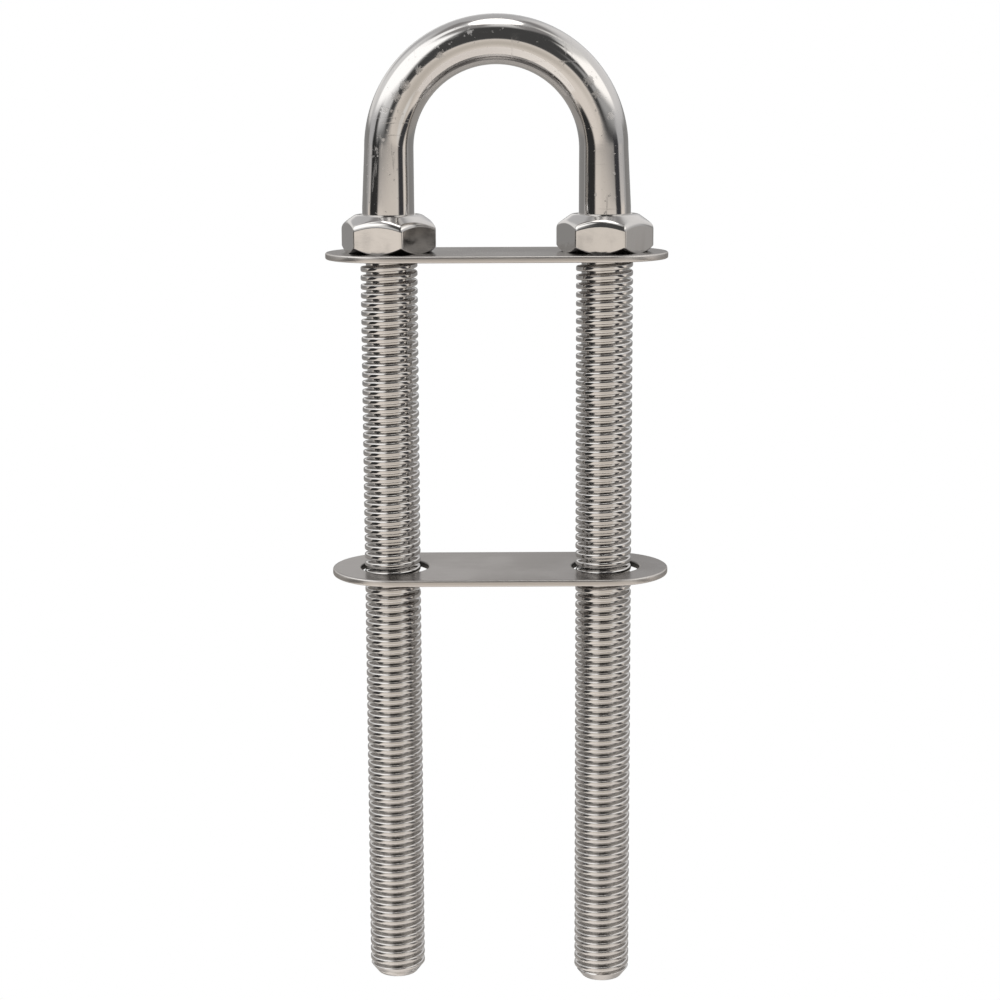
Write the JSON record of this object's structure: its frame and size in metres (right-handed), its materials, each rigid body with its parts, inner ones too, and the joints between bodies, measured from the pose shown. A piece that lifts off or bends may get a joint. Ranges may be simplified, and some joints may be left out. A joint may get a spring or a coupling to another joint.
{
  "type": "bow eye",
  "caption": "Long-legged U-bolt bow eye in bright stainless steel, with thin hex nuts run up to a face plate and a matching loose backing plate on the legs.",
  "frame": {"origin": "midway between the legs, on the underside of the face plate, where it meets the hull", "axes": "+Z along the legs, up through the eye; +X from the left leg to the right leg; +Y away from the viewer"},
  "size_m": [0.0756, 0.028, 0.2199],
  "materials": {
    "polished_rod": "mirror-polished stainless rod with fine handling scratches, rolled bright thread",
    "polished_nut": "polished stainless steel with faint wrench marks",
    "satin_plate": "satin stainless sheet, edges tumbled round"
  },
  "bodies": {
    "u_bolt": {"u_bolt": "polished_rod"},
    "left_nut": {"left_nut": "polished_nut"},
    "right_nut": {"right_nut": "polished_nut"},
    "face_plate": {"face_plate": "satin_plate"},
    "backing_plate": {"backing_plate": "satin_plate"}
  },
  "joints": [
    {"name": "left_nut_spin", "type": "hinge", "parent": "u_bolt", "child": "left_nut", "pos_m": [-0.0238, 0, 0.0056], "axis": [0, 0, 1], "continuous": true},
    {"name": "right_nut_spin", "type": "hinge", "parent": "u_bolt", "child": "right_nut", "pos_m": [0.0238, 0, 0.0056], "axis": [0, 0, 1], "continuous": true},
    {"name": "face_plate_slide", "type": "slide", "parent": "u_bolt", "child": "face_plate", "axis": [0, 0, 1], "range_m": [-0.0345, 0]},
    {"name": "backing_plate_slide", "type": "slide", "parent": "u_bolt", "child": "backing_plate", "axis": [0, 0, 1], "range_m": [-0.095, 0.0345]}
  ]
}
